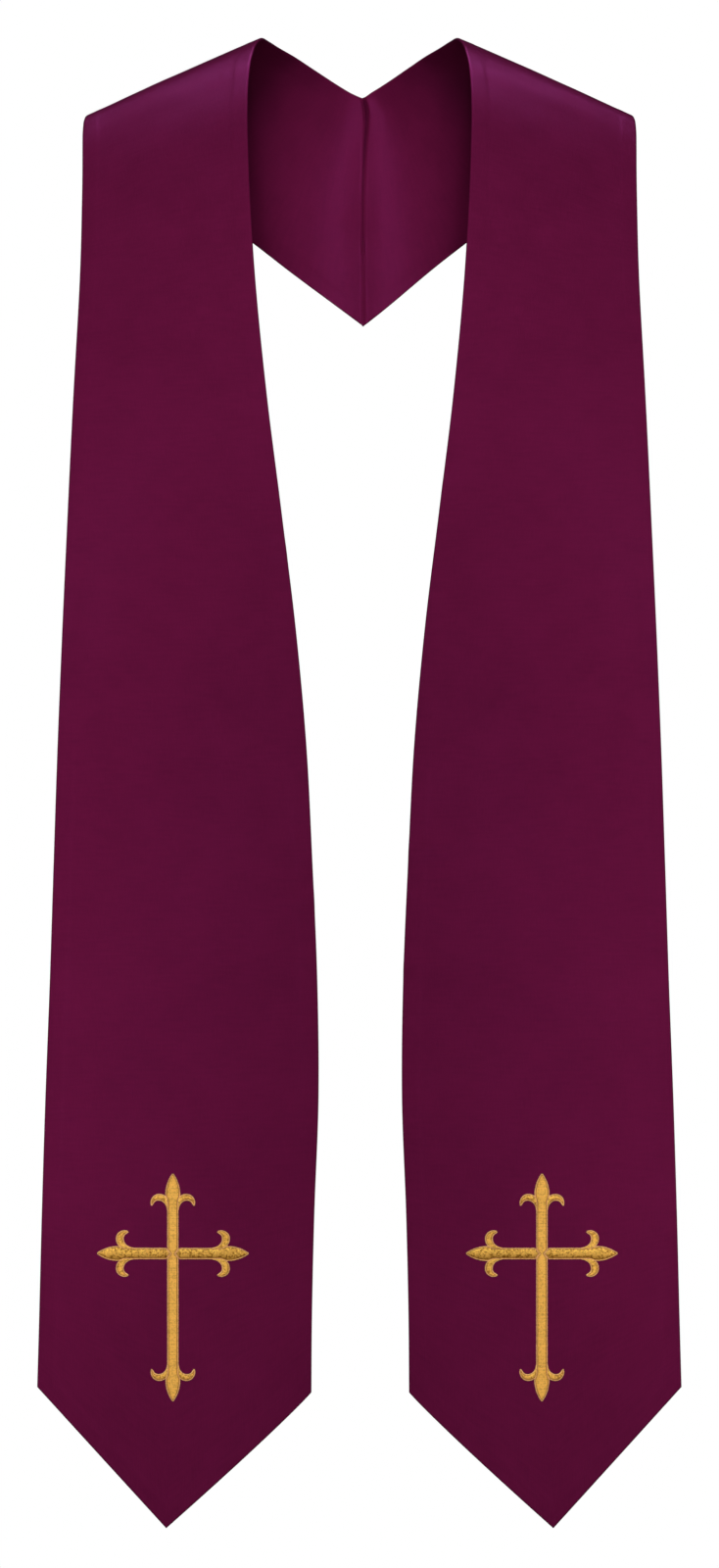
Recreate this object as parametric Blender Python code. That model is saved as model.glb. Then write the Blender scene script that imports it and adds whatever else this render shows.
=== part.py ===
# Choir stole, worn open: two mirrored satin strips over the shoulders, joined at the centre back,
# each with a pointed front end and an embroidered cross.
# Metres, +Z up, -Y is the front. The origin is on the shoulder line, midway between the two places
# where the neck side of the cloth lies on the shoulders.
import math
from collections import namedtuple

import bmesh
import bpy
import numpy as np
from mathutils import Vector
from mathutils.bvhtree import BVHTree

# Driving sizes of the cloth
WALL = 0.0016            # two layers of satin with interfacing between them
SEAM_GAP = 0.0003        # clearance between pieces that meet
SEAM_OVERRUN = 0.004     # the strip runs this far past the centre back, where the seam is then cut
POINT_DROP = 0.0712      # how far the point hangs below the corners of the front end
POINT_REACH = 0.150      # length of strip over which the rows of the mesh bend into the point
POINT_ACROSS = 0.529     # where the point lies across the strip, from its inner edge
POINT_FULLNESS = 0.95    # below 1, the slant on the inner side bellies out a little
COLUMNS = 12             # faces across the strip
ROW_STEP = 0.020         # longest face along the strip
NUDGE = 0.001            # step along the strip for finding its direction

# Driving sizes of the cross, in its own plane
BAR_WIDTH = 0.0059
TOP_ARM = 0.0416
SIDE_ARM = 0.0394
FOOT_ARM = 0.0764
BUD_WIDTH = 0.0076           # the pointed bud at the end of each arm
BUD_WIDEST = 0.0100          # from the bud's tip to its widest place
LEAF_OUTER_RADIUS = 0.0046
LEAF_OUTER_ACROSS = 0.0072   # centre of the leaf's outer curve, from the arm's axis
LEAF_OUTER_ALONG = 0.0151    # and from the arm's tip
LEAF_INNER_RADIUS = 0.0051
LEAF_INNER_ALONG = 0.0191
STITCH_SHOULDER = 0.0005     # height of the embroidery at its rim
STITCH_HEIGHT = 0.0012       # and along the middle of its bars
STITCH_SLOPE = 0.0011        # width of the slope from the rim to the top
BAR_STEP = 0.007             # longest face along a bar
CURVE_STEPS = 7              # faces along each curve of a bud or a leaf
CROSS_Z = -0.6370
CROSS_X = {"left": -0.0960, "right": 0.0938}

# The strip's sections, from the front end to the centre back, on the cloth's inner face.
# Each runs from the inner (neck) edge to the outer (shoulder) edge, and its middle stands proud by bow.
Section = namedtuple("Section", "name inner_x inner_y inner_z outer_x outer_y outer_z bow")
SECTIONS = (
    Section("front end", 0.0254, -0.1000, -0.7089, 0.1654, -0.0980, -0.7061, 0.0010),
    Section("cross foot", 0.0252, -0.1010, -0.6785, 0.1646, -0.0985, -0.6789, 0.0015),
    Section("cross arms", 0.0239, -0.1020, -0.6180, 0.1630, -0.0995, -0.6182, 0.0020),
    Section("above cross", 0.0217, -0.1030, -0.5575, 0.1611, -0.1000, -0.5576, 0.0025),
    Section("hip", 0.0223, -0.1040, -0.4970, 0.1588, -0.1000, -0.4971, 0.0025),
    Section("waist", 0.0248, -0.1040, -0.4365, 0.1569, -0.0990, -0.4366, 0.0030),
    Section("ribs", 0.0279, -0.1040, -0.3760, 0.1550, -0.0960, -0.3760, 0.0030),
    Section("low chest", 0.0334, -0.1020, -0.3155, 0.1528, -0.0900, -0.3152, 0.0035),
    Section("chest", 0.0408, -0.0970, -0.2548, 0.1505, -0.0800, -0.2550, 0.0035),
    Section("high chest", 0.0483, -0.0890, -0.1937, 0.1484, -0.0660, -0.1947, 0.0030),
    Section("collar bone", 0.0553, -0.0710, -0.1160, 0.1461, -0.0450, -0.1265, 0.0020),
    Section("below shoulder", 0.0578, -0.0550, -0.0685, 0.1459, -0.0330, -0.0939, 0.0010),
    Section("shoulder front", 0.0585, -0.0420, -0.0412, 0.1460, -0.0240, -0.0723, 0.0005),
    Section("arch front", 0.0582, -0.0330, -0.0274, 0.1463, -0.0170, -0.0586, 0.0),
    Section("arch turn", 0.0568, -0.0220, -0.0134, 0.1464, -0.0110, -0.0502, 0.0004),
    Section("arch rise", 0.0545, -0.0120, -0.0045, 0.1460, -0.0060, -0.0445, 0.0006),
    Section("ridge", 0.0516, 0.0000, 0.0000, 0.1448, 0.0000, -0.0416, 0.0006),
    Section("arch fall", 0.0480, 0.0165, 0.0006, 0.1423, 0.0080, -0.0436, 0.0006),
    Section("arch back", 0.0430, 0.0315, -0.0007, 0.1383, 0.0165, -0.0474, 0.0008),
    Section("nape side", 0.0350, 0.0475, -0.0033, 0.1270, 0.0330, -0.0556, 0.0015),
    Section("blade side", 0.0250, 0.0605, -0.0083, 0.1040, 0.0575, -0.0700, 0.0025),
    Section("blade", 0.0135, 0.0702, -0.0148, 0.0645, 0.0855, -0.0955, 0.0025),
    Section("centre back", 0.0, 0.0750, -0.0224, 0.0, 0.1050, -0.1442, 0.0015),
)


def material(name, colour, roughness, metallic=0.0):
    made = bpy.data.materials.new(name)
    made.use_nodes = True
    shader = made.node_tree.nodes["Principled BSDF"]
    shader.inputs["Base Color"].default_value = (*colour, 1.0)
    shader.inputs["Roughness"].default_value = roughness
    shader.inputs["Metallic"].default_value = metallic
    return made


def smooth_through(stations, values):
    """A function that runs smoothly through the values at these stations (cubic Hermite)."""
    stations, values = np.array(stations), np.array(values)
    steps = np.diff(stations)
    slopes = np.diff(values, axis=0) / steps[:, None]
    weights = (steps[:-1] / (steps[:-1] + steps[1:]))[:, None]
    tangents = np.vstack([slopes[:1], slopes[:-1] * (1 - weights) + slopes[1:] * weights, slopes[-1:]])

    def at(station):
        k = int(np.clip(np.searchsorted(stations, station) - 1, 0, len(steps) - 1))
        share = (station - stations[k]) / steps[k]
        rest = 1 - share
        return (
            values[k] * (1 + 2 * share) * rest**2
            + tangents[k] * steps[k] * share * rest**2
            + values[k + 1] * (1 + 2 * rest) * share**2
            - tangents[k + 1] * steps[k] * rest * share**2
        )

    return at


def section_stations():
    """The sections' places along the strip: the length of the line through their middles."""
    middles = [
        Vector((s.inner_x + s.outer_x, s.inner_y + s.outer_y, s.inner_z + s.outer_z)) / 2 for s in SECTIONS
    ]
    stations = [0.0]
    for before, after in zip(middles, middles[1:]):
        stations.append(stations[-1] + (after - before).length)
    return stations


STATIONS = section_stations()
STRIP = smooth_through(STATIONS, [section[1:] for section in SECTIONS])


def row_stations():
    """Places of the mesh's rows: every section, and equal steps between one section and the next."""
    rows = [STATIONS[0]]
    for start, end in zip(STATIONS, STATIONS[1:]):
        count = max(2, math.ceil((end - start) / ROW_STEP))
        rows += [start + (end - start) * (k + 1) / count for k in range(count)]
    rows[-1] += SEAM_OVERRUN
    return rows


def point_bend(station):
    """How much of the point's drop reaches this far up the strip: all of it at the front end."""
    return max(0.0, 1 - station / POINT_REACH) ** 2


def cloth_point(station, across, side):
    """A point of the cloth's inner face: across is 0 at the inner edge and 1 at the outer edge."""
    row = STRIP(station)
    inner, outer = Vector(row[0:3]), Vector(row[3:6])
    step = STRIP(station + NUDGE) - STRIP(station - NUDGE)
    inward = Vector(step[0:3] + step[3:6]).cross(outer - inner).normalized()
    point = inner.lerp(outer, across) - inward * row[6] * 4 * across * (1 - across)
    if across < POINT_ACROSS:
        slant = (across / POINT_ACROSS) ** POINT_FULLNESS
    else:
        slant = (1 - across) / (1 - POINT_ACROSS)
    point.z -= POINT_DROP * point_bend(station) * slant
    return Vector((side * point.x, point.y, point.z))


def across_columns(station):
    """Places of the mesh's columns across the strip: the middle one runs to the point."""
    middle = 0.5 + (POINT_ACROSS - 0.5) * point_bend(station)
    half = COLUMNS // 2
    inner_side = [middle * k / half for k in range(half)]
    return inner_side + [middle + (1 - middle) * k / half for k in range(half + 1)]


def make_panel(name, side, cloth, collection):
    """One half of the stole: a flat strip hung over the shoulder, thickened, and cut at the centre back."""
    rows = row_stations()
    strip = bmesh.new()
    bmesh.ops.create_grid(strip, x_segments=COLUMNS, y_segments=len(rows) - 1, size=0.5)
    for vert in strip.verts:
        row = round((vert.co.y + 0.5) * (len(rows) - 1))
        column = round((vert.co.x + 0.5) * COLUMNS)
        vert.co = cloth_point(rows[row], across_columns(rows[row])[column], side)
    if side > 0:
        bmesh.ops.reverse_faces(strip, faces=strip.faces)
    strip.normal_update()
    bmesh.ops.solidify(strip, geom=strip.faces, thickness=WALL)
    seam = bmesh.ops.bisect_plane(
        strip,
        geom=strip.verts[:] + strip.edges[:] + strip.faces[:],
        plane_co=(side * SEAM_GAP / 2, 0.0, 0.0),
        plane_no=(side, 0.0, 0.0),
        clear_inner=True,
    )
    bmesh.ops.edgenet_fill(strip, edges=[e for e in seam["geom_cut"] if isinstance(e, bmesh.types.BMEdge)])
    bmesh.ops.recalc_face_normals(strip, faces=strip.faces)
    mesh = bpy.data.meshes.new(name)
    strip.to_mesh(mesh)
    strip.free()
    mesh.shade_smooth()
    panel = bpy.data.objects.new(name, mesh)
    collection.objects.link(panel)
    mesh.materials.append(cloth)
    return panel


def arc(centre, radius, start, end):
    """Points of an arc in the cross's plane, without its last one; the angles are in radians."""
    angles = [start + (end - start) * k / CURVE_STEPS for k in range(CURVE_STEPS)]
    return [(centre[0] + radius * math.cos(a), centre[1] + radius * math.sin(a)) for a in angles]


def where_circles_cross(first, first_radius, second, second_radius):
    """The two points where two circles cross."""
    apart = math.dist(first, second)
    along = (first_radius**2 - second_radius**2 + apart**2) / (2 * apart)
    aside = math.sqrt(first_radius**2 - along**2)
    unit_x, unit_y = (second[0] - first[0]) / apart, (second[1] - first[1]) / apart
    foot_x, foot_y = first[0] + unit_x * along, first[1] + unit_y * along
    return [(foot_x - unit_y * w, foot_y + unit_x * w) for w in (aside, -aside)]


def angle_of(point, centre):
    return math.atan2(point[1] - centre[1], point[0] - centre[0])


def arm_end(inset):
    """Half of an arm's end as (across, from tip) pairs: the bud's side, the leaf, the start of the bar."""
    half_bud = BUD_WIDTH / 2
    bud_radius = (BUD_WIDEST**2 + half_bud**2) / (2 * half_bud)
    bud_centre = (half_bud - bud_radius, BUD_WIDEST)
    outer_centre = (LEAF_OUTER_ACROSS, LEAF_OUTER_ALONG)
    inner_centre = (BAR_WIDTH / 2 + LEAF_INNER_RADIUS, LEAF_INNER_ALONG)
    meetings = where_circles_cross(bud_centre, bud_radius, outer_centre, LEAF_OUTER_RADIUS)
    notch = min(meetings, key=lambda meeting: meeting[1])
    bud_radius -= inset
    outer_radius = LEAF_OUTER_RADIUS - inset
    inner_radius = LEAF_INNER_RADIUS + inset
    tip = (0.0, BUD_WIDEST - math.sqrt(bud_radius**2 - bud_centre[0] ** 2))
    leaf_tip = max(where_circles_cross(outer_centre, outer_radius, inner_centre, inner_radius))
    return (
        arc(bud_centre, bud_radius, angle_of(tip, bud_centre), angle_of(notch, bud_centre))
        + arc(outer_centre, outer_radius, angle_of(notch, outer_centre), angle_of(leaf_tip, outer_centre))
        + arc(inner_centre, inner_radius, angle_of(leaf_tip, inner_centre), -math.pi)
        + [(BAR_WIDTH / 2 - inset, LEAF_INNER_ALONG)]
    )


def cross_outline(inset):
    """The cross's outline in its own plane, anticlockwise from its right arm, about its crossing."""
    outline = []
    corner = BAR_WIDTH / 2 - inset
    for quarter, arm in enumerate((SIDE_ARM, TOP_ARM, SIDE_ARM, FOOT_ARM)):
        plain = arm - LEAF_INNER_ALONG - BAR_WIDTH / 2
        steps = max(1, round(plain / BAR_STEP))
        bar = [(corner, LEAF_INNER_ALONG + (plain + inset) * (k + 1) / steps) for k in range(steps)]
        half = arm_end(inset) + bar
        right_side = [(-across, arm - from_tip) for across, from_tip in half[1:-1]]
        left_side = [(across, arm - from_tip) for across, from_tip in half]
        turn = quarter * math.pi / 2
        cos, sin = math.cos(turn), math.sin(turn)
        outline += [(a * cos - c * sin, a * sin + c * cos) for c, a in right_side[::-1] + left_side]
    return outline


def make_cross(name, centre_x, panel, thread, collection):
    """Raised embroidery: its outline laid on the panel's outer face, a low wall, and a sloped shoulder."""
    bpy.context.view_layer.update()
    face_of_panel = BVHTree.FromObject(panel, bpy.context.evaluated_depsgraph_get())
    raised = bmesh.new()

    def ring(inset, height):
        verts = []
        for x, z in cross_outline(inset):
            spot, normal, _, _ = face_of_panel.ray_cast(
                Vector((centre_x + x, -1.0, CROSS_Z + z)), Vector((0.0, 1.0, 0.0))
            )
            verts.append(raised.verts.new(spot + normal * (SEAM_GAP + height)))
        edges = [raised.edges.new((a, b)) for a, b in zip(verts, verts[1:] + verts[:1])]
        return verts, edges

    _, back = ring(0.0, 0.0)
    _, shoulder = ring(0.0, STITCH_SHOULDER)
    _, top = ring(STITCH_SLOPE, STITCH_HEIGHT)
    bmesh.ops.bridge_loops(raised, edges=back + shoulder)
    bmesh.ops.bridge_loops(raised, edges=shoulder + top)
    bmesh.ops.triangle_fill(raised, use_beauty=True, edges=back)
    bmesh.ops.triangle_fill(raised, use_beauty=True, edges=top)
    bmesh.ops.recalc_face_normals(raised, faces=raised.faces)
    mesh = bpy.data.meshes.new(name)
    raised.to_mesh(mesh)
    raised.free()
    cross = bpy.data.objects.new(name, mesh)
    collection.objects.link(cross)
    cross.data.materials.append(thread)
    return cross


def build():
    for leftover in list(bpy.data.objects):
        bpy.data.objects.remove(leftover)
    stole = bpy.data.collections.new("choir stole")
    bpy.context.scene.collection.children.link(stole)
    satin = material("burgundy satin", (0.105, 0.006, 0.036), 0.42)
    gold = material("gold thread", (0.55, 0.33, 0.09), 0.45, 0.25)
    for name, side in (("left", -1), ("right", 1)):
        panel = make_panel(name + "_panel", side, satin, stole)
        make_cross(name + "_cross", CROSS_X[name], panel, gold, stole)


build()
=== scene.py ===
import math
import random
from collections import namedtuple

import bmesh
import bpy
import numpy as np
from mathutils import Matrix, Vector, noise
from mathutils.bvhtree import BVHTree


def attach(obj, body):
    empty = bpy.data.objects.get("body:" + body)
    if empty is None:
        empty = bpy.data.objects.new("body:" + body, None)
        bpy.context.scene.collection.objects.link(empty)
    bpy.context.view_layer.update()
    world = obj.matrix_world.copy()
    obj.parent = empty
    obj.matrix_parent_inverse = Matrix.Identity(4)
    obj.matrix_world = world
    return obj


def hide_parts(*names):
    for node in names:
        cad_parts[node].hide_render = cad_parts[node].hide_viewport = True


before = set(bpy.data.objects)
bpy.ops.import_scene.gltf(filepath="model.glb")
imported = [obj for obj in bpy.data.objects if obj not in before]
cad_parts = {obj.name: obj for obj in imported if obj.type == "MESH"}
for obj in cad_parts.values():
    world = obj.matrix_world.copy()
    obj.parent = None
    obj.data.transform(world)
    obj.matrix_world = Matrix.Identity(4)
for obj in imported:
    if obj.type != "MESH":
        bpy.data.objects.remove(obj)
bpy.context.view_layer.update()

# Camera
# The photograph is taken from straight in front, level with the middle of the stole, through a long lens.
# The long side of the picture spans 0.807 m at the plane of the fronts.
CAMERA_PLACE = (0.0, -3.1, -0.3956)
CAMERA_LENS = 133.8
camera = bpy.data.objects.new("camera", bpy.data.cameras.new("camera"))
camera.data.lens = CAMERA_LENS
camera.data.sensor_width = 36.0
camera.location = CAMERA_PLACE
camera.rotation_euler = (math.pi / 2, 0.0, 0.0)
bpy.context.scene.collection.objects.link(camera)
bpy.context.scene.camera = camera
bpy.context.scene.view_settings.view_transform = "Standard"


# Satin halves
# Each half is one strip of burgundy satin, lined with itself over an interfacing, with its seam allowances
# turned in and pressed, so that its rims are rolled. It hangs over a shoulder, and ends in a point.
Section = namedtuple("Section", "name inner_x inner_y inner_z outer_x outer_y outer_z bow")
SECTIONS = (
    Section("front end", 0.0254, -0.1000, -0.7089, 0.1654, -0.0980, -0.7061, 0.0010),
    Section("cross foot", 0.0252, -0.1010, -0.6785, 0.1646, -0.0985, -0.6789, 0.0015),
    Section("cross arms", 0.0239, -0.1020, -0.6180, 0.1630, -0.0995, -0.6182, 0.0020),
    Section("above cross", 0.0217, -0.1030, -0.5575, 0.1611, -0.1000, -0.5576, 0.0025),
    Section("hip", 0.0223, -0.1040, -0.4970, 0.1588, -0.1000, -0.4971, 0.0025),
    Section("waist", 0.0248, -0.1040, -0.4365, 0.1569, -0.0990, -0.4366, 0.0030),
    Section("ribs", 0.0279, -0.1040, -0.3760, 0.1550, -0.0960, -0.3760, 0.0030),
    Section("low chest", 0.0334, -0.1020, -0.3155, 0.1528, -0.0900, -0.3152, 0.0035),
    Section("chest", 0.0408, -0.0970, -0.2548, 0.1505, -0.0800, -0.2550, 0.0035),
    Section("high chest", 0.0483, -0.0890, -0.1937, 0.1484, -0.0660, -0.1947, 0.0030),
    Section("collar bone", 0.0553, -0.0710, -0.1160, 0.1461, -0.0450, -0.1265, 0.0020),
    Section("below shoulder", 0.0578, -0.0550, -0.0685, 0.1459, -0.0330, -0.0939, 0.0010),
    Section("shoulder front", 0.0585, -0.0420, -0.0412, 0.1460, -0.0240, -0.0723, 0.0005),
    Section("arch front", 0.0582, -0.0330, -0.0274, 0.1463, -0.0170, -0.0586, 0.0),
    Section("arch turn", 0.0568, -0.0220, -0.0134, 0.1464, -0.0110, -0.0502, 0.0004),
    Section("arch rise", 0.0545, -0.0120, -0.0045, 0.1460, -0.0060, -0.0445, 0.0006),
    Section("ridge", 0.0516, 0.0000, 0.0000, 0.1448, 0.0000, -0.0416, 0.0006),
    Section("arch fall", 0.0480, 0.0165, 0.0006, 0.1423, 0.0080, -0.0436, 0.0006),
    Section("arch back", 0.0430, 0.0315, -0.0007, 0.1383, 0.0165, -0.0474, 0.0008),
    Section("nape side", 0.0350, 0.0475, -0.0033, 0.1270, 0.0330, -0.0556, 0.0015),
    Section("blade side", 0.0250, 0.0605, -0.0083, 0.1040, 0.0575, -0.0700, 0.0025),
    Section("blade", 0.0135, 0.0702, -0.0148, 0.0645, 0.0855, -0.0955, 0.0025),
    Section("centre back", 0.0, 0.0750, -0.0224, 0.0, 0.1050, -0.1442, 0.0015),
)
WALL = 0.0016              # two layers of satin and the interfacing between them
NUDGE = 0.001              # slopes along the strip are taken over this length to each side
POINT_DROP = 0.0712        # the point hangs this far below the front end's corners
POINT_REACH = 0.150        # the rows above follow the point over this length
POINT_ACROSS = 0.529       # of the width, where the tip is
POINT_FULLNESS = 0.95      # the hem's inner side bulges a little
HEM_LEAN = 0.70            # the hem of the point runs at about 45 degrees to the strip

# In the photograph the left front is a little wider than the right one, which hangs a hair further out
FrontFit = namedtuple("FrontFit", "wider aside")
FRONT_FIT = {-1: FrontFit(0.0013, 0.0), 1: FrontFit(0.0004, 0.0003)}
INNER_TURN = 0.0024        # the fronts' inner edges turn back a little, over this share of the width
INNER_TURN_SPAN = 0.5

# Where the mesh's columns and rows stand near a rim, as distances from it, and how many columns there are
# and how far apart the rows are elsewhere
RIM_COLUMNS = (0.0, 0.0001, 0.00035, 0.0008, 0.0015, 0.0026, 0.0045, 0.0068, 0.0082, 0.0090, 0.0098, 0.0114)
HEM_ROWS = (0.0, 0.00008, 0.00026, 0.0006, 0.0011, 0.0019, 0.0033, 0.0048, 0.0058, 0.0068, 0.0083)
SEAM_ROWS = (0.0, 0.0001, 0.00035, 0.0007, 0.0011, 0.0016, 0.0022, 0.0029, 0.0038, 0.0050, 0.0066, 0.0085)
FIELD_COLUMNS = 34
ROW_STEP = 0.0021
RIM_ROWS_LENGTH = 0.017    # the hem's and the seam's rows take up about this much of the strip

ROLL_RADIUS = 0.0008       # the rims' roll
FIELD_THIN = 0.00010       # inside the turned-in allowance, the cloth is this much thinner on each face
ALLOWANCE = 0.0090
ALLOWANCE_EDGE = 0.0008

# The centre-back seam wanders to the wearer's left, and its ditch is deepest below the neck
SeamPlace = namedtuple("SeamPlace", "z aside dip")
SEAM_LINE = (
    SeamPlace(-0.0190, 0.0006, 0.0008),
    SeamPlace(-0.0240, 0.0024, 0.0016),
    SeamPlace(-0.0290, 0.0035, 0.0020),
    SeamPlace(-0.0350, 0.0037, 0.0018),
    SeamPlace(-0.0430, 0.0031, 0.0013),
    SeamPlace(-0.0550, 0.0024, 0.0008),
    SeamPlace(-0.0720, 0.0019, 0.0006),
    SeamPlace(-0.0950, 0.0019, 0.0005),
    SeamPlace(-0.1200, 0.0020, 0.0005),
    SeamPlace(-0.1450, 0.0021, 0.0005),
)
SEAM_PULL = 0.045          # the cloth on both sides follows the seam over this width
DIP_WIDTH = 0.0012
DIP_SHARE = {-1: 0.6, 1: 1.2}  # the ditch is deeper in the half over the wearer's left shoulder
SEAM_LAP = 0.0001          # the two rims press into each other

# Small puckers that a seam draws into the cloth, each a soft valley across from its rim
Pucker = namedtuple("Pucker", "half z length width depth slope")
PUCKERS = (
    Pucker("left", -0.2060, 0.016, 0.0045, 0.0009, 0.10),
    Pucker("left", -0.2750, 0.018, 0.0050, 0.0009, -0.05),
    Pucker("right", -0.2420, 0.015, 0.0045, 0.0008, 0.08),
    Pucker("right", -0.4300, 0.018, 0.0050, 0.0009, 0.10),
    Pucker("left", -0.4550, 0.020, 0.0055, 0.0009, -0.08),
    Pucker("right", -0.4900, 0.016, 0.0045, 0.0008, 0.05),
)
FRONT_Y = -0.02            # the puckers are in the cloth in front of this

# Slow and quick waves of the hanging cloth: their height, about how many there are to a metre across and
# down it, and where they start in the noise
Wave = namedtuple("Wave", "height across down start_x start_z")
WAVES = (Wave(0.00032, 22, 9, 0.0, 3.0), Wave(0.00010, 70, 38, 9.0, 0.0))
WAVE_RIM = 0.020           # they die out over this distance towards the rims

BACK_MAP_SHIFT = 0.4       # on the weave's map, the inner face lies beside the outer one
SAME_PLACE = 1e-6          # points of the cloth closer than this become one


def smooth_through(stations, values, level_end=()):
    """A function that runs smoothly through the values at these stations (cubic Hermite)."""
    stations, values = np.array(stations), np.array(values)
    steps = np.diff(stations)
    slopes = np.diff(values, axis=0) / steps[:, None]
    weights = (steps[:-1] / (steps[:-1] + steps[1:]))[:, None]
    tangents = np.vstack([slopes[:1], slopes[:-1] * (1 - weights) + slopes[1:] * weights, slopes[-1:]])
    if level_end:
        tangents[-1, list(level_end)] = 0.0

    def at(station):
        before = np.clip(np.searchsorted(stations, station) - 1, 0, len(steps) - 1)
        share = ((station - stations[before]) / steps[before])[..., None]
        rest = 1 - share
        return (
            values[before] * (1 + 2 * share) * rest**2
            + tangents[before] * steps[before][..., None] * share * rest**2
            + values[before + 1] * (1 + 2 * rest) * share**2
            - tangents[before + 1] * steps[before][..., None] * rest * share**2
        )

    return at


def section_stations():
    """The sections' places along the strip: the length of the line through their middles."""
    table = np.array([section[1:7] for section in SECTIONS])
    middles = (table[:, 0:3] + table[:, 3:6]) / 2
    return np.concatenate([[0.0], np.cumsum(np.linalg.norm(np.diff(middles, axis=0), axis=1))])


STATIONS = section_stations()
STATION_OF = {section.name: station for section, station in zip(SECTIONS, STATIONS)}
STRIP = smooth_through(STATIONS, [section[1:] for section in SECTIONS], level_end=(1, 4))
SEAM_AT = smooth_through([-place.z for place in SEAM_LINE], [place[1:] for place in SEAM_LINE])


def smoothstep(start, end, value):
    """A smooth step from 0 at the start to 1 at the end."""
    share = np.clip((value - start) / (end - start), 0.0, 1.0)
    return share * share * (3 - 2 * share)


def strip_grid():
    """The rows' stations, the columns' places across, the share of the point's drop, and the widths."""
    last = STATIONS[-1]
    plain_rows = round((last - RIM_ROWS_LENGTH) / ROW_STEP)
    plain = np.linspace(HEM_ROWS[-1], last - SEAM_ROWS[-1], plain_rows)[1:-1]
    rows = np.concatenate([HEM_ROWS, plain, last - np.array(SEAM_ROWS[::-1])])
    ends = STRIP(rows)
    widths = np.linalg.norm(ends[:, 3:6] - ends[:, 0:3], axis=1)[:, None]
    bend = (np.clip(1 - rows / POINT_REACH, 0, 1) ** 2)[:, None]
    rim = np.array(RIM_COLUMNS)[None, :] / widths
    middle = 0.5 + (POINT_ACROSS - 0.5) * bend
    half = FIELD_COLUMNS // 2
    share = (np.arange(1, half) / half)[None, :]
    inner_field = rim[:, -1:] + (middle - rim[:, -1:]) * share
    outer_field = middle + (1 - rim[:, -1:] - middle) * share
    across = np.hstack([rim, inner_field, middle, outer_field, 1 - rim[:, ::-1]])
    return rows, across, bend, widths


def cloth_middle(side):
    """One half's middle surface, its outward normals, its rows and columns, each point's distance from the
    hem, the side rims and the seam, and how far the seam's ditch moves it."""
    rows, across, bend, widths = strip_grid()
    row = STRIP(rows)
    step = STRIP(rows + NUDGE) - STRIP(rows - NUDGE)
    inner, outer, bow = row[:, None, 0:3], row[:, None, 3:6], row[:, None, 6:7]
    inward = np.cross(step[:, 0:3] + step[:, 3:6], row[:, 3:6] - row[:, 0:3])
    inward = (inward / np.linalg.norm(inward, axis=1)[:, None])[:, None, :]
    place = across[..., None]
    points = inner + (outer - inner) * place - inward * bow * 4 * place * (1 - place)
    in_front = smoothstep(STATION_OF["below shoulder"], STATION_OF["chest"], rows)[:, None]
    points[..., 1] += INNER_TURN * in_front * np.clip(1 - across / INNER_TURN_SPAN, 0, 1) ** 2
    points[..., 0] += in_front * ((across - 0.5) * FRONT_FIT[side].wider + FRONT_FIT[side].aside)
    slant = np.where(
        across < POINT_ACROSS,
        (across / POINT_ACROSS) ** POINT_FULLNESS,
        (1 - across) / (1 - POINT_ACROSS),
    )
    points[..., 2] -= POINT_DROP * bend * slant
    points = points - inward * WALL / 2
    points[-1, :, 0] = 0.0
    hem = np.linalg.norm(points - points[0], axis=2) * HEM_LEAN
    side_rim = np.minimum(across, 1 - across) * widths
    seam = np.abs(points[..., 0])
    points[..., 0] *= side
    depth_down = np.clip(-points[..., 2], -SEAM_LINE[0].z, -SEAM_LINE[-1].z)
    aside, dip = np.moveaxis(SEAM_AT(depth_down), 2, 0)
    near_seam = np.where((rows > STATION_OF["arch back"])[:, None], 1.0, 0.0)
    along_rows = np.gradient(points, axis=0)
    along_columns = np.gradient(points, axis=1)
    normals = np.cross(along_columns, along_rows)
    normals /= np.linalg.norm(normals, axis=2)[..., None]
    normals *= -side
    points[..., 0] += aside * near_seam * np.clip(1 - (seam / SEAM_PULL) ** 2, 0, 1) ** 2
    points[-1, :, 0] -= side * SEAM_LAP
    lift = -dip * DIP_SHARE[side] * near_seam * np.exp(-((seam / DIP_WIDTH) ** 2))
    return points, normals, rows, across, hem, side_rim, np.where(near_seam > 0, seam, 1.0), lift


def drape(points, side_rim, hem):
    """Slow, shallow waves of cloth that hangs freely, dying out towards the rims."""
    lift = np.zeros(points.shape[:2])
    for index in np.ndindex(lift.shape):
        x, y, z = points[index]
        for wave in WAVES:
            place = (x * wave.across + wave.start_x, y * wave.across, z * wave.down + wave.start_z)
            lift[index] += wave.height * noise.noise(Vector(place))
    return lift * smoothstep(0.0, WAVE_RIM, side_rim) * smoothstep(0.0, WAVE_RIM, hem)


def pucker_lift(half, points, across, side_rim):
    """The puckers in the inner half of one front's width."""
    lift = np.zeros(points.shape[:2])
    inner_front = (points[..., 1] < FRONT_Y) & (across < 0.5)
    for pucker in PUCKERS:
        if pucker.half != half:
            continue
        offset = points[..., 2] - pucker.z - pucker.slope * side_rim
        valley = np.exp(-((offset / pucker.width) ** 2)) * np.exp(-((side_rim / pucker.length) ** 2))
        lift -= np.where(inner_front, pucker.depth * valley, 0.0)
    return lift


def piece_from(form, name, material):
    """An object in the scene, made from this bmesh, which is then freed."""
    mesh = bpy.data.meshes.new(name)
    form.to_mesh(mesh)
    form.free()
    mesh.materials.append(material)
    piece = bpy.data.objects.new(name, mesh)
    bpy.context.scene.collection.objects.link(piece)
    return piece


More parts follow.
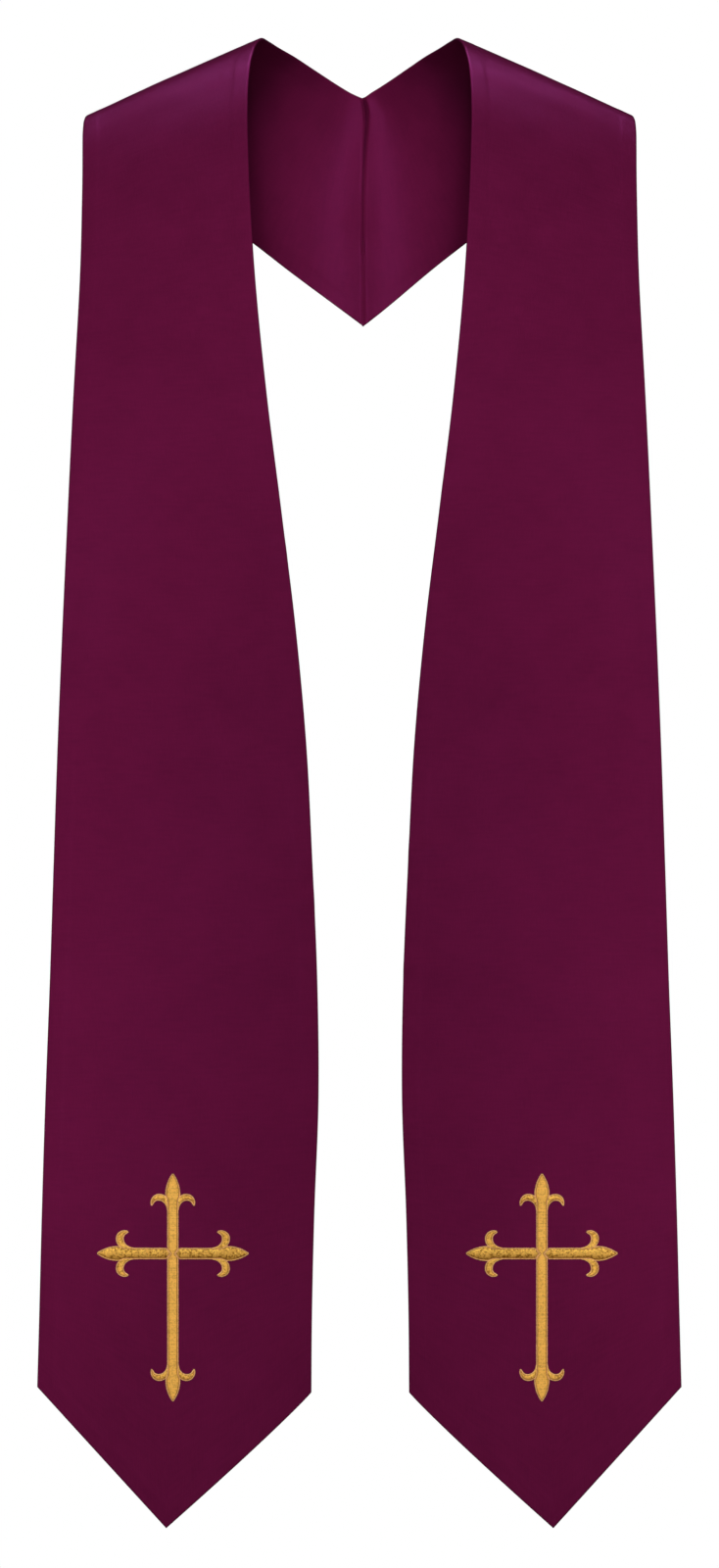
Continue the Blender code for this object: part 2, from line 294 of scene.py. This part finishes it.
def make_half(half, side, satin):
    """One half: its outer and inner face, each a grid on the middle surface, joined along the rims."""
    points, normals, rows, across, hem, side_rim, seam, seam_lift = cloth_middle(side)
    nearest = np.minimum(np.minimum(side_rim, hem), seam)
    rounds = [np.sqrt(1 - (1 - np.clip(rim / ROLL_RADIUS, 0, 1)) ** 2) for rim in (side_rim, hem, seam)]
    field = smoothstep(ALLOWANCE - ALLOWANCE_EDGE, ALLOWANCE + ALLOWANCE_EDGE, nearest)
    thick = (WALL / 2 - FIELD_THIN * field) * rounds[0] * rounds[1] * rounds[2]
    lift = seam_lift + drape(points, side_rim, hem) + pucker_lift(half, points, across, side_rim)
    down, wide = across.shape[0] - 1, across.shape[1] - 1
    cloth = bmesh.new()
    weave_map = cloth.loops.layers.uv.new("weave")
    widths = side_rim.max(axis=1) * 2
    for face_side in (1, -1):
        verts = bmesh.ops.create_grid(cloth, x_segments=wide, y_segments=down, size=0.5)["verts"]
        places = {vert: (round((vert.co.y + 0.5) * down), round((vert.co.x + 0.5) * wide)) for vert in verts}
        for vert, place in places.items():
            vert.co = points[place] + normals[place] * (lift[place] + face_side * thick[place])
        for face in {face for vert in places for face in vert.link_faces}:
            for loop in face.loops:
                row, column = places[loop.vert]
                shift = 0.0 if face_side > 0 else BACK_MAP_SHIFT
                loop[weave_map].uv = (across[row, column] * widths[row] + shift, rows[row])
    bmesh.ops.remove_doubles(cloth, verts=cloth.verts, dist=SAME_PLACE)
    bmesh.ops.recalc_face_normals(cloth, faces=cloth.faces)
    piece = piece_from(cloth, half + "_satin", satin)
    piece.data.shade_smooth()
    return piece


def maths(tree, operation, first, second):
    """A math node on two values or sockets."""
    node = tree.nodes.new("ShaderNodeMath")
    node.operation = operation
    for socket, value in zip(node.inputs, (first, second)):
        if isinstance(value, (int, float)):
            socket.default_value = value
        else:
            tree.links.new(value, socket)
    return node.outputs[0]


def weighted_sum(tree, *parts):
    """The sum of these sockets, each times its weight."""
    total, *others = [maths(tree, "MULTIPLY", value, weight) for value, weight in parts]
    for other in others:
        total = maths(tree, "ADD", total, other)
    return total


def stretched(tree, place, scale):
    """The place on a map, scaled by this much along each axis."""
    node = tree.nodes.new("ShaderNodeMapping")
    node.inputs["Scale"].default_value = scale
    tree.links.new(place, node.inputs["Vector"])
    return node.outputs["Vector"]


def noise_at(tree, place, scale, detail):
    """Noise at this place, about 0.5."""
    node = tree.nodes.new("ShaderNodeTexNoise")
    node.inputs["Scale"].default_value = scale
    node.inputs["Detail"].default_value = detail
    tree.links.new(place, node.inputs["Vector"])
    return node.outputs["Fac"]


def mixed(tree, factor, first, second):
    """A mix of two colours, each a value or a socket."""
    node = tree.nodes.new("ShaderNodeMix")
    node.data_type = "RGBA"
    tree.links.new(factor, node.inputs["Factor"])
    for socket, value in zip((node.inputs["A"], node.inputs["B"]), (first, second)):
        if isinstance(value, tuple):
            socket.default_value = (*value, 1.0)
        else:
            tree.links.new(value, socket)
    return node.outputs["Result"]


# The floats are the weave's long threads. Its height is FLOAT_SHARE of them and the whole of the slubs.
FLOAT_LENGTH, FLOAT_WIDTH, FLOAT_GAP = 0.0017, 0.00034, 0.00004
FLOAT_SHARE = 0.6

# The slubs and the streaks are noise on a stretched map. The satin's tone is their sum with the mottling and
# the blotches, by these weights, less TONE_LESS.
SLUB_STRETCH = (1800.0, 160.0, 1.0)
STREAK_STRETCH = (90.0, 700.0, 1.0)
MOTTLE, BLOTCHES, STREAKS, SLUBS = 0.7, 0.6, 0.9, 0.8
TONE_LESS = 1.0


def satin_weave():
    """A group: the long floats of a satin weave on the cloth's own map, its slubs, and slow mottling."""
    group = bpy.data.node_groups.new("satin weave", "ShaderNodeTree")
    for socket in ("Tone", "Height"):
        group.interface.new_socket(socket, in_out="OUTPUT", socket_type="NodeSocketFloat")
    weave_map = group.nodes.new("ShaderNodeUVMap")
    weave_map.uv_map = "weave"
    place = weave_map.outputs["UV"]
    turned = group.nodes.new("ShaderNodeMapping")
    turned.inputs["Rotation"].default_value = (0.0, 0.0, math.pi / 2)
    group.links.new(place, turned.inputs["Vector"])
    floats = group.nodes.new("ShaderNodeTexBrick")
    floats.offset = 0.4
    floats.inputs["Scale"].default_value = 1.0
    floats.inputs["Brick Width"].default_value = FLOAT_LENGTH
    floats.inputs["Row Height"].default_value = FLOAT_WIDTH
    floats.inputs["Mortar Size"].default_value = FLOAT_GAP
    floats.inputs["Mortar Smooth"].default_value = 1.0
    floats.inputs["Color1"].default_value = (0.35, 0.35, 0.35, 1.0)
    floats.inputs["Color2"].default_value = (1.0, 1.0, 1.0, 1.0)
    floats.inputs["Mortar"].default_value = (0.0, 0.0, 0.0, 1.0)
    group.links.new(turned.outputs["Vector"], floats.inputs["Vector"])
    slubs = noise_at(group, stretched(group, place, SLUB_STRETCH), scale=1.0, detail=2.0)
    streaks = noise_at(group, stretched(group, place, STREAK_STRETCH), scale=1.0, detail=3.0)
    mottle = noise_at(group, place, scale=55.0, detail=3.0)
    blotches = noise_at(group, place, scale=16.0, detail=2.0)
    tone = weighted_sum(group, (mottle, MOTTLE), (blotches, BLOTCHES), (streaks, STREAKS), (slubs, SLUBS))
    out = group.nodes.new("NodeGroupOutput")
    group.links.new(maths(group, "SUBTRACT", tone, TONE_LESS), out.inputs["Tone"])
    height = maths(group, "ADD", maths(group, "MULTIPLY", floats.outputs["Color"], FLOAT_SHARE), slubs)
    group.links.new(height, out.inputs["Height"])
    return group


SATIN_DARK = (0.074, 0.0038, 0.0253)
SATIN_LIGHT = (0.102, 0.0052, 0.0348)
SATIN_ROUGHNESS = 0.29
TONE_ROUGHNESS = 0.08               # the lighter patches are this much rougher
WEAVE_DEPTH = 0.00008


def satin_material():
    made = bpy.data.materials.new("burgundy_satin")
    made.use_nodes = True
    tree = made.node_tree
    shader = tree.nodes["Principled BSDF"]
    weave = tree.nodes.new("ShaderNodeGroup")
    weave.node_tree = satin_weave()
    tree.links.new(mixed(tree, weave.outputs["Tone"], SATIN_DARK, SATIN_LIGHT), shader.inputs["Base Color"])
    rougher = maths(tree, "MULTIPLY", weave.outputs["Tone"], TONE_ROUGHNESS)
    tree.links.new(maths(tree, "ADD", rougher, SATIN_ROUGHNESS), shader.inputs["Roughness"])
    bump = tree.nodes.new("ShaderNodeBump")
    bump.inputs["Strength"].default_value = 0.5
    bump.inputs["Distance"].default_value = WEAVE_DEPTH
    tree.links.new(weave.outputs["Height"], bump.inputs["Height"])
    tree.links.new(bump.outputs["Normal"], shader.inputs["Normal"])
    shader.inputs["Metallic"].default_value = 0.35
    shader.inputs["Specular IOR Level"].default_value = 0.6
    shader.inputs["Specular Tint"].default_value = (1.0, 0.14, 0.85, 1.0)
    return made


SATIN = satin_material()
HALVES = {}
for half, side in (("left", -1), ("right", 1)):
    piece = make_half(half, side, SATIN)
    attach(piece, "root")
    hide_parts(half + "_panel")
    HALVES[half] = piece


# Embroidered crosses
# Each cross is machine satin stitch in gold thread over padding, with four pointed buds, each between two
# curled leaves. Its stitches go into the outer satin along both edges of every bar, bud and leaf.
CROSS_Z = -0.6370
CROSS_X = {"left": -0.0960, "right": 0.0938}
BAR_WIDTH = 0.0059
ARMS = ((0.0394, 0), (0.0416, 1), (0.0394, 2), (0.0764, 3))   # length, and quarter turns from the right arm
BUD_WIDTH = 0.0078
BUD_WIDEST = 0.0114
BUD_RADIUS = (BUD_WIDEST**2 + (BUD_WIDTH / 2) ** 2) / BUD_WIDTH     # of the curve of its sides
THROAT_AT = 0.0150          # the bud narrows to the bar by here
WAIST = 0.0012              # where the bars cross, the level ones end in V's that point at the upright one
WAIST_SLOPE = 0.78
JOIN_AT = 0.0191            # a dip across the foot, where the machine began it anew

# A leaf, from its root on the bar to its tip: where its stitches start and end, across from the arm's middle
# and along from the arm's tip
Rib = namedtuple("Rib", "inner_across inner_along outer_across outer_along")
LEAF = (
    Rib(0.00290, 0.0192, 0.00300, 0.0134),
    Rib(0.00325, 0.0175, 0.00370, 0.0121),
    Rib(0.00405, 0.0160, 0.00490, 0.0113),
    Rib(0.00530, 0.0149, 0.00640, 0.0109),
    Rib(0.00680, 0.0144, 0.00820, 0.0110),
    Rib(0.00830, 0.0145, 0.00990, 0.0119),
    Rib(0.00940, 0.0152, 0.01105, 0.0135),
    Rib(0.01000, 0.0161, 0.01150, 0.0152),
    Rib(0.01065, 0.0169, 0.01125, 0.0170),
)
# The level arms' leaves are broader, and stand a little further out at their tips
LEVEL_LEAF_SHIFT = Rib(0.0003, -0.0003, 0.0005, -0.0012)

THREAD = 0.00019            # radius of the thread
STITCH_PITCH = 0.00036
THREAD_SIDES = 5
THREAD_FLATNESS = 0.8

# How high a stitch stands at each distance in from its edge: it dives into the satin, rises over the narrow
# rim, and dips again where the rim meets the padded filling
RIM_INWARD = (0.0, 0.00010, 0.00030, 0.00056, 0.00074)
RIM_HEIGHT = (-0.00040, 0.00028, 0.00052, 0.00042, 0.00018)
FILL_PLACES = (0.12, 0.5, 1.0)      # of the way from the rim to the middle
FILL_SLOPE = 0.10                   # the padding's height for each metre of a stitch's length
FILL_LEAST = 0.00026
FILLED_FROM = 1.5                   # a filling needs half a stitch to be over this many rims long
RIM_SHARE = 0.9                     # of half a stitch, which the rim's points don't pass

# Stitches differ in length and height, and in tone. The leaves' stitches get part of the level ones' painted
# shade and glints.
SEEDS = {"left": 7, "right": 11}
LENGTH_VARIES = (0.975, 1.02)
HEIGHT_VARIES = (0.94, 1.06)
LEAF_LEVEL = 0.8
JOIN_HEIGHT = 0.6                   # of a stitch's height, at the dip across the foot
NARROWEST = 0.0003                  # a stitch planned shorter than this is left out
TIP_LEFT = 0.0005                   # a bud's stitches end this far from its tip
TUBE_CLOSES = 1e-7                  # points closer than this become one, which closes the thread's tube
SEEN_FROM = -1.0                    # the stitches' places are found from in front, at this y


def half_width(from_tip, length, level):
    """Half the width of an arm at this distance from its tip: the bud, the throat, the bar, the crossing."""
    if from_tip < BUD_WIDEST:
        width = BUD_WIDTH / 2 - BUD_RADIUS + math.sqrt(BUD_RADIUS**2 - (from_tip - BUD_WIDEST) ** 2)
    else:
        width = BUD_WIDTH / 2 + (BAR_WIDTH - BUD_WIDTH) / 2 * smoothstep(BUD_WIDEST, THROAT_AT, from_tip)
    from_middle = length - from_tip
    if level:
        return min(width, max(0.0, (from_middle - WAIST) / WAIST_SLOPE))
    return min(width, WAIST + from_middle * WAIST_SLOPE)


def arm_stitches(length, level):
    """Both ends of each stitch of an arm, from the crossing out to its tip, as (across, from tip) pairs."""
    stitches = []
    for from_tip in np.arange(length - STITCH_PITCH / 2, TIP_LEFT, -STITCH_PITCH):
        width = half_width(from_tip, length, level)
        stitches.append(((-width, from_tip), (width, from_tip)))
    return stitches


def leaf_stitches(level):
    """Both ends of each stitch of a leaf, from its root to its tip."""
    ribs = np.array(LEAF)
    if level:
        ribs += np.linspace(0, 1, len(ribs))[:, None] ** 0.5 * np.array(LEVEL_LEAF_SHIFT)
    reach = np.concatenate([[0.0], np.cumsum(np.linalg.norm(np.diff(ribs[:, 2:4], axis=0), axis=1))])
    line = smooth_through(reach, ribs)(np.arange(STITCH_PITCH / 2, reach[-1], STITCH_PITCH))
    return [((rib[0], rib[1]), (rib[2], rib[3])) for rib in line]


def make_cross(half, gold):
    """One cross: for each arm its two leaves and its bar with its bud, each one thread laid to and fro."""
    chance = random.Random(SEEDS[half])
    surface = BVHTree.FromObject(HALVES[half], bpy.context.evaluated_depsgraph_get())

    def on_cloth(x, z):
        spot, normal, _, _ = surface.ray_cast(Vector((x, SEEN_FROM, z)), Vector((0.0, 1.0, 0.0)))
        return spot, normal

    runs = []
    for length, quarter in ARMS:
        cos, sin = math.cos(quarter * math.pi / 2), math.sin(quarter * math.pi / 2)
        level = quarter % 2 == 0

        def laid(point, mirror=1):
            across, along = mirror * point[0], length - point[1]
            return (CROSS_X[half] + along * cos - across * sin, CROSS_Z + along * sin + across * cos)

        for mirror in (1, -1):
            stitches = [(laid(start, mirror), laid(end, mirror)) for start, end in leaf_stitches(level)]
            runs.append((stitches, LEAF_LEVEL))
        stitches = [(laid(start), laid(end)) for start, end in arm_stitches(length, level)]
        runs.append((stitches, float(level)))
    join_z = CROSS_Z - ARMS[-1][0] + JOIN_AT

    thread = bmesh.new()
    layers = {name: thread.verts.layers.float.new(name) for name in ("edge", "tone", "level", "fall")}
    for run, level in runs:
        path = []
        for start, end in run:
            width = math.dist(start, end)
            if width < NARROWEST:
                continue
            half_length = width / 2 * chance.uniform(*LENGTH_VARIES)
            crown = (FILL_LEAST + FILL_SLOPE * width) * chance.uniform(*HEIGHT_VARIES)
            if level == 0.0 and abs(start[1] - join_z) < STITCH_PITCH / 2:
                crown *= JOIN_HEIGHT
            groove = RIM_INWARD[-1]
            inward = [inset for inset in RIM_INWARD if inset < half_length * RIM_SHARE]
            if half_length > groove * FILLED_FROM:
                inward += [groove + (half_length - groove) * place for place in FILL_PLACES]
            else:
                inward.append(half_length)
            tone = chance.random()
            middle = ((start[0] + end[0]) / 2, (start[1] + end[1]) / 2)
            way = ((end[0] - start[0]) / width, (end[1] - start[1]) / width)
            for sign, distances in ((-1, inward), (1, inward[-2::-1])):
                for inset in distances:
                    aside = sign * (half_length - inset)
                    spot, normal = on_cloth(middle[0] + way[0] * aside, middle[1] + way[1] * aside)
                    rise = float(np.interp(inset, RIM_INWARD, RIM_HEIGHT))
                    if inset > groove:
                        share = (inset - groove) / (half_length - groove)
                        rise += (crown - rise) * math.sqrt(1 - (1 - share) ** 2)
                    # The last value, fall, is how far up a point lies along its stitch: below the middle the
                    # gold gets painted shade, above it painted glints
                    shades = (inset * 1000, tone, level, way[1] * aside / half_length)
                    path.append((spot + normal * rise, normal, shades))
        last = len(path) - 1
        verts = bmesh.ops.create_grid(thread, x_segments=THREAD_SIDES, y_segments=last, size=0.5)["verts"]
        spots = [spot for spot, _, _ in path]
        neighbours = zip(spots[:1] + spots, spots[1:] + spots[-1:])
        ways = [(after - before).normalized() for before, after in neighbours]
        for vert in verts:
            ring = round((vert.co.y + 0.5) * last)
            turn = round((vert.co.x + 0.5) * THREAD_SIDES) / THREAD_SIDES * 2 * math.pi
            spot, normal, values = path[ring]
            sideways = ways[ring].cross(normal).normalized()
            up = sideways.cross(ways[ring]).normalized()
            vert.co = spot + (sideways * math.cos(turn) + up * math.sin(turn) * THREAD_FLATNESS) * THREAD
            for layer, value in zip(layers.values(), values):
                vert[layer] = value
    bmesh.ops.remove_doubles(thread, verts=thread.verts, dist=TUBE_CLOSES)
    bmesh.ops.holes_fill(thread, edges=thread.edges, sides=THREAD_SIDES)
    bmesh.ops.recalc_face_normals(thread, faces=thread.faces)
    piece = piece_from(thread, half + "_embroidery", gold)
    piece.data.shade_smooth()
    return piece


# The rim gold is pale as a painted highlight along the stitches' edges
RIM_HIGHLIGHT_GOLD = (0.84, 0.47, 0.19)
# The groove brown is painted shade in the dip where the rim meets the padded filling
GROOVE_SHADE_BROWN = (0.36, 0.15, 0.022)
FILL_GOLD = (0.88, 0.50, 0.105)
# The grain brown serves the thread's random grains and tone, and also the painted shade of level fillings
GRAIN_AND_SHADE_BROWN = (0.20, 0.080, 0.004)
# The glint gold is painted glints on the upper side of level fillings
GLINT_GOLD = (1.0, 0.66, 0.13)

# The thread's colours in from a stitch's end (a painted highlight on the rim, painted shade in the groove),
# the ramp's reach and where the filling begins, in millimetres
THREAD_COLOURS = (
    (0.0, RIM_HIGHLIGHT_GOLD),
    (0.46, RIM_HIGHLIGHT_GOLD),
    (0.60, GROOVE_SHADE_BROWN),
    (0.86, GROOVE_SHADE_BROWN),
    (1.08, FILL_GOLD),
)
RAMP_REACH = 1.1
FILLING_FROM = 0.7

# Brown grains and golden painted glints: their size, and the noise values between which they set in
Grains = namedtuple("Grains", "size start end")
BROWN_GRAINS = Grains(0.00110, 0.50, 0.62)
PAINTED_GLINTS = Grains(0.00100, 0.50, 0.58)

# How far its grains and its own tone brown the thread. A level filling also gets painted shade: as a whole,
# by more grains, and on its lower side. Its painted glints lie from a little below its middle upwards.
GRAIN_BROWNS, TONE_BROWNS = 0.26, 0.20
LEVEL_PAINTED_SHADE, LEVEL_SHADE_GRAINS, LOWER_PAINTED_SHADE = 0.20, 0.26, 0.42
GLINTS_BELOW_MIDDLE = 0.25


def gold_material():
    made = bpy.data.materials.new("gold_thread")
    made.use_nodes = True
    tree = made.node_tree
    shader = tree.nodes["Principled BSDF"]

    def from_thread(name):
        node = tree.nodes.new("ShaderNodeAttribute")
        node.attribute_name = name
        return node.outputs["Fac"]

    def scattered(grains):
        """These grains over the thread, from 0 to 1."""
        place = tree.nodes.new("ShaderNodeTexCoord").outputs["Object"]
        band = tree.nodes.new("ShaderNodeMapRange")
        band.inputs["From Min"].default_value = grains.start
        band.inputs["From Max"].default_value = grains.end
        tree.links.new(noise_at(tree, place, scale=1 / grains.size, detail=1.0), band.inputs["Value"])
        return band.outputs["Result"]

    inward, tone, level, fall = (from_thread(name) for name in ("edge", "tone", "level", "fall"))
    ramp = tree.nodes.new("ShaderNodeValToRGB")
    tree.links.new(maths(tree, "MULTIPLY", inward, 1 / RAMP_REACH), ramp.inputs["Fac"])
    while len(ramp.color_ramp.elements) < len(THREAD_COLOURS):
        ramp.color_ramp.elements.new(0.5)
    for element, (distance, colour) in zip(ramp.color_ramp.elements, THREAD_COLOURS):
        element.position = distance / RAMP_REACH
        element.color = (*colour, 1.0)
    filling = maths(tree, "GREATER_THAN", inward, FILLING_FROM)
    level_filling = maths(tree, "MULTIPLY", filling, level)
    # Painted shade on the lower side of a level filling
    lower_side = maths(tree, "MAXIMUM", maths(tree, "MULTIPLY", fall, -1.0), 0.0)
    # Painted glints from a little below a level filling's middle upwards
    upper = maths(tree, "MAXIMUM", maths(tree, "ADD", fall, GLINTS_BELOW_MIDDLE), 0.0)
    # More grains on a level filling, as painted shade
    more_shade_grains = maths(tree, "MULTIPLY", level_filling, LEVEL_SHADE_GRAINS)
    # Random grains and tone brown all the thread; painted shade browns level fillings as a whole, by more
    # grains and below
    browned_and_shaded = weighted_sum(
        tree,
        (scattered(BROWN_GRAINS), maths(tree, "ADD", more_shade_grains, GRAIN_BROWNS)),
        (tone, TONE_BROWNS),
        (maths(tree, "MULTIPLY", lower_side, level_filling), LOWER_PAINTED_SHADE),
        (level_filling, LEVEL_PAINTED_SHADE),
    )
    shaded = mixed(tree, browned_and_shaded, ramp.outputs["Color"], GRAIN_AND_SHADE_BROWN)
    glint_area = maths(tree, "MULTIPLY", upper, level_filling)
    glints = maths(tree, "MULTIPLY", scattered(PAINTED_GLINTS), glint_area)
    tree.links.new(mixed(tree, glints, shaded, GLINT_GOLD), shader.inputs["Base Color"])
    shader.inputs["Roughness"].default_value = 0.36
    shader.inputs["Metallic"].default_value = 0.30
    shader.inputs["Specular IOR Level"].default_value = 0.4
    shader.inputs["Specular Tint"].default_value = (1.0, 0.75, 0.35, 1.0)
    return made


GOLD = gold_material()
for half in ("left", "right"):
    piece = make_cross(half, GOLD)
    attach(piece, "root")
    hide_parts(half + "_cross")


# Floor, lights and world
# A plain pale floor lies below the picture, and the background is white. Windows, strips and a softbox
# behind light the cloth, the other softboxes also give its sheen, and two snoots light the neck's inside.
FLOOR_Z = -1.42
FLOOR_RADIUS = 4.2
ground = bmesh.new()
bmesh.ops.create_circle(ground, cap_ends=True, segments=96, radius=FLOOR_RADIUS)
bmesh.ops.translate(ground, verts=ground.verts, vec=(0.0, 0.0, FLOOR_Z))
pale = bpy.data.materials.new("pale_floor")
pale.use_nodes = True
matt = pale.node_tree.nodes["Principled BSDF"]
matt.inputs["Base Color"].default_value = (0.85, 0.85, 0.84, 1.0)
matt.inputs["Roughness"].default_value = 0.7
floor = piece_from(ground, "floor", pale)
floor.visible_diffuse = floor.visible_glossy = False

# The front window is the key light, and the level window and the back softbox are each a third of it. The
# two gridded strips each light the outer side of one front, so that it darkens towards its inner edge.
KEY_POWER = 400.0
THIRD = KEY_POWER / 3
Light = namedtuple("Light", "name place aim width height power spread colour glossy")
WHITE, VIOLET = (1.0, 1.0, 1.0), (0.84, 0.58, 1.0)
LIGHTS = (
    Light("overhead softbox", (0.0, 0.05, 1.15), (0.0, 0.0, 0.0), 1.3, 0.4, 7.0, 180, VIOLET, True),
    Light("front window", (0.0, -5.2, 2.7), (0.0, 0.0, -0.30), 2.0, 1.6, KEY_POWER, 180, WHITE, False),
    Light("level window", (0.0, -5.2, -0.8), (0.0, 0.0, -0.40), 2.0, 1.2, THIRD, 180, WHITE, False),
    Light("left strip", (-0.17, -0.9, -0.40), (-0.17, -0.1, -0.40), 0.02, 0.6, 0.1, 18, WHITE, False),
    Light("right strip", (0.17, -0.9, -0.40), (0.17, -0.1, -0.40), 0.02, 0.6, 0.1, 18, WHITE, False),
    Light("left softbox", (-2.6, -3.87, 1.15), (0.0, -0.1, -0.25), 0.9, 0.9, 2.5, 180, WHITE, True),
    Light("right softbox", (2.6, -3.87, 1.15), (0.0, -0.1, -0.25), 0.9, 0.9, 2.5, 180, WHITE, True),
    Light("back softbox", (0.0, 3.4, -0.2), (0.0, 0.0, -0.30), 2.4, 1.6, THIRD, 180, WHITE, False),
)


def hang_lamp(name, kind, place, aim, power):
    """A lamp that points from its place at its aim, and that the camera doesn't see."""
    lamp = bpy.data.objects.new(name, bpy.data.lights.new(name, kind))
    lamp.data.energy = power
    lamp.visible_camera = False
    lamp.location = place
    lamp.rotation_euler = (Vector(aim) - Vector(place)).to_track_quat("-Z", "Y").to_euler()
    bpy.context.scene.collection.objects.link(lamp)
    return lamp


for light in LIGHTS:
    lamp = hang_lamp(light.name, "AREA", light.place, light.aim, light.power)
    lamp.data.shape = "RECTANGLE"
    lamp.data.size, lamp.data.size_y = light.width, light.height
    lamp.data.spread = math.radians(light.spread)
    lamp.data.color = light.colour
    lamp.visible_glossy = light.glossy

# Two snoots light the inside of the neck from below: one its cloth, the other, larger, its satin's sheen
Snoot = namedtuple("Snoot", "name cone blend radius power glossy")
SNOOTS = (
    Snoot("cloth snoot", 5.0, 1.0, 0.10, 150.0, False),
    Snoot("sheen snoot", 5.8, 0.8, 0.22, 100.0, True),
)
SNOOT_PLACE, SNOOT_AIM = (0.0, -2.2, -1.15), (0.0, 0.09, -0.090)
for snoot in SNOOTS:
    lamp = hang_lamp(snoot.name, "SPOT", SNOOT_PLACE, SNOOT_AIM, snoot.power)
    lamp.data.spot_size = math.radians(snoot.cone)
    lamp.data.spot_blend = snoot.blend
    lamp.data.shadow_soft_size = snoot.radius
    lamp.visible_glossy, lamp.visible_diffuse = snoot.glossy, not snoot.glossy

# The camera sees a white world, the cloth is lit by hardly any of it, and mirrors a faint pink one
WORLD_LIT, WORLD_MIRRORED = 0.02, 0.04
MIRRORED_PINK = (1.0, 0.45, 0.75, 1.0)
world = bpy.data.worlds.new("studio")
world.use_nodes = True
bpy.context.scene.world = world
air = world.node_tree
seen = air.nodes["Background"]
seen.inputs["Color"].default_value = (1.0, 1.0, 1.0, 1.0)
lit = air.nodes.new("ShaderNodeBackground")
lit.inputs["Color"].default_value = (1.0, 1.0, 1.0, 1.0)
lit.inputs["Strength"].default_value = WORLD_LIT
mirrored = air.nodes.new("ShaderNodeBackground")
mirrored.inputs["Color"].default_value = MIRRORED_PINK
mirrored.inputs["Strength"].default_value = WORLD_MIRRORED
rays = air.nodes.new("ShaderNodeLightPath")
softened = air.nodes.new("ShaderNodeMixShader")
air.links.new(rays.outputs["Is Glossy Ray"], softened.inputs["Fac"])
air.links.new(lit.outputs["Background"], softened.inputs[1])
air.links.new(mirrored.outputs["Background"], softened.inputs[2])
choice = air.nodes.new("ShaderNodeMixShader")
air.links.new(rays.outputs["Is Camera Ray"], choice.inputs["Fac"])
air.links.new(softened.outputs["Shader"], choice.inputs[1])
air.links.new(seen.outputs["Background"], choice.inputs[2])
air.links.new(choice.outputs["Shader"], air.nodes["World Output"].inputs["Surface"])
